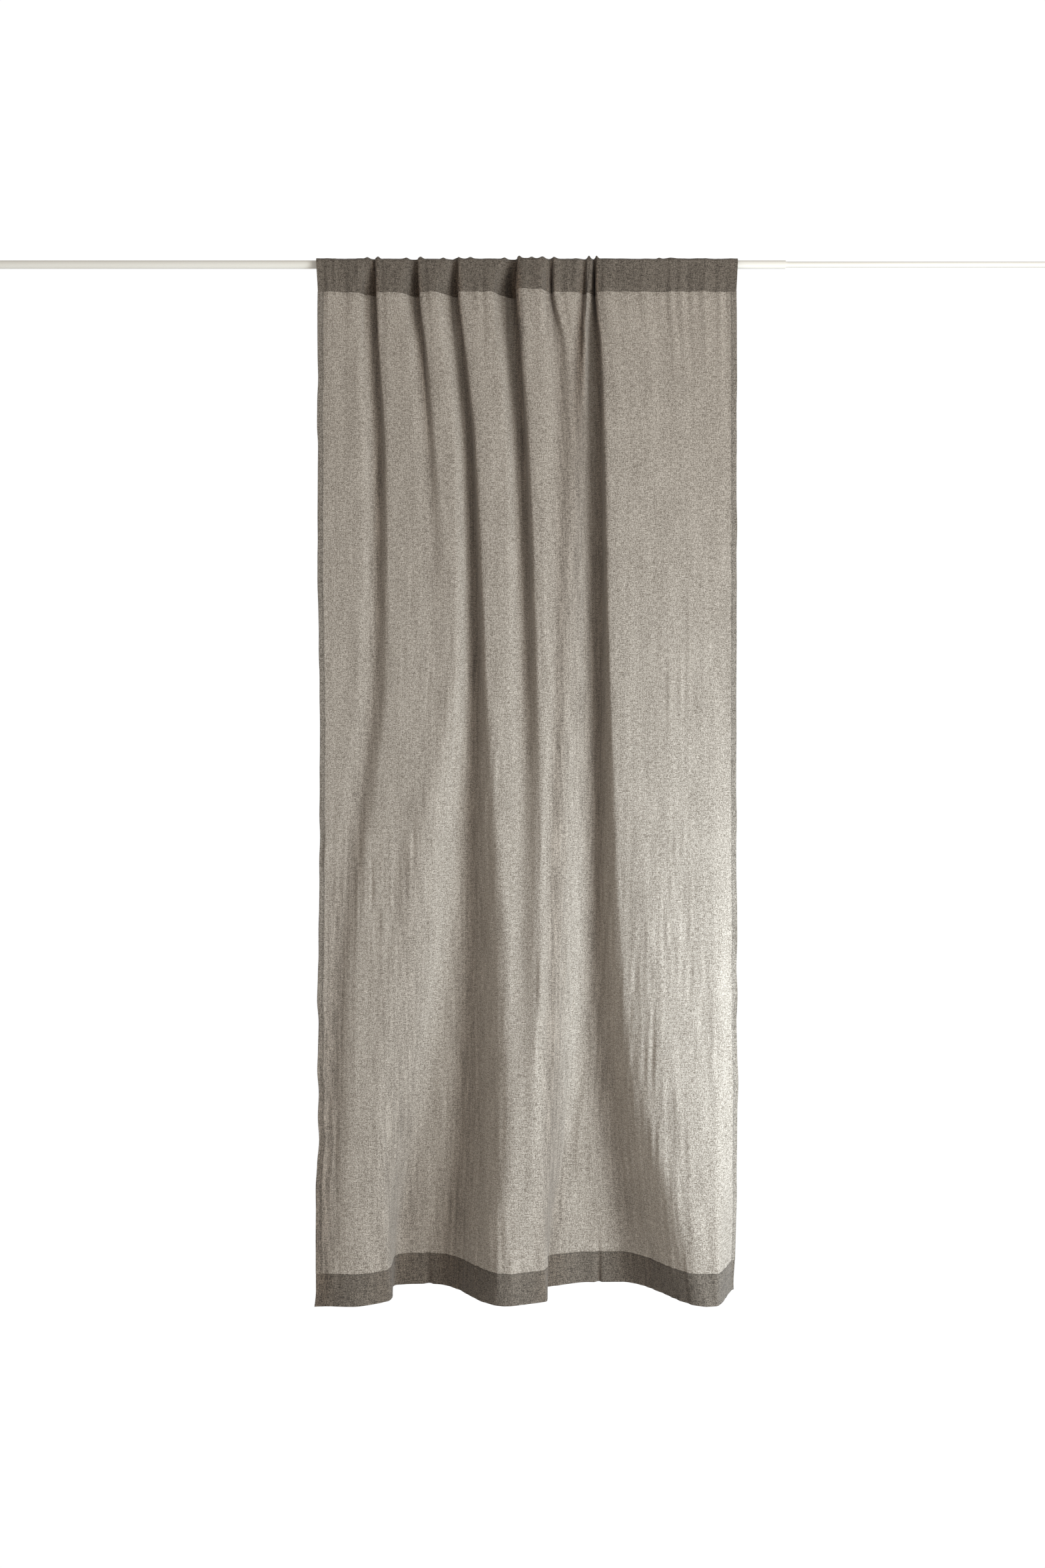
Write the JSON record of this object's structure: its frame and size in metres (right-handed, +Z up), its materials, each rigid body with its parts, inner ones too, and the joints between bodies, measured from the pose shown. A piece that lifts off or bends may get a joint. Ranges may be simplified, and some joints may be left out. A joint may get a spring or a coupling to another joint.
{
  "type": "curtain panel",
  "caption": "Floor-length linen curtain panel with a rod pocket, gathered on a slim telescopic curtain rod, hanging in soft folds.",
  "frame": {"origin": "on the rod's axis, half way along the hung panel's width", "axes": "+X along the rod to the right as seen from the room, -Y towards the room, +Z up"},
  "size_m": [2.6, 0.1518, 2.5064],
  "materials": {
    "linen": "plain weave linen, single layer, slightly see-through",
    "doubled_linen": "plain weave linen, turned and sewn double",
    "thread": "matt sewing thread in the cloth's colour",
    "label_tape": "plain woven tape, blank",
    "rod_lacquer": "cream lacquer, satin",
    "rod_plastic": "moulded cream plastic, matt"
  },
  "bodies": {
    "rod_outer": {"outer_tube": "rod_lacquer", "mouth_bush": "rod_plastic", "left_end_plug": "rod_plastic"},
    "rod_inner": {"inner_tube": "rod_lacquer", "guide_bush": "rod_plastic", "right_end_plug": "rod_plastic"},
    "heading": {"pocket_crown": "doubled_linen"},
    "drop": {"pocket_front": "doubled_linen", "pocket_back": "doubled_linen", "heading_seam": "thread", "face_panel": "linen", "left_side_hem": "doubled_linen", "left_hem_seam": "thread", "bottom_hem": "doubled_linen", "bottom_hem_seam": "thread", "care_label": "label_tape"},
    "leading_edge": {"right_side_hem": "doubled_linen", "right_hem_seam": "thread"}
  },
  "joints": [
    {"name": "rod_extend", "type": "slide", "parent": "rod_outer", "child": "rod_inner", "axis": [1, 0, 0], "range_m": [-0.45, 0.35]},
    {"name": "panel_slide", "type": "slide", "parent": "rod_outer", "child": "heading", "axis": [1, 0, 0], "range_m": [-0.75, 0.75]},
    {"name": "panel_swing", "type": "hinge", "parent": "heading", "child": "drop", "pos_m": [0, 0, 0], "axis": [1, 0, 0], "range_deg": [-15, 15], "deforming": ["pocket_crown"]},
    {"name": "panel_draw", "type": "slide", "parent": "drop", "child": "leading_edge", "axis": [1, 0, 0], "range_m": [-0.45, 0], "deforming": ["pocket_crown", "pocket_front", "pocket_back", "heading_seam", "face_panel", "bottom_hem", "bottom_hem_seam"]}
  ]
}
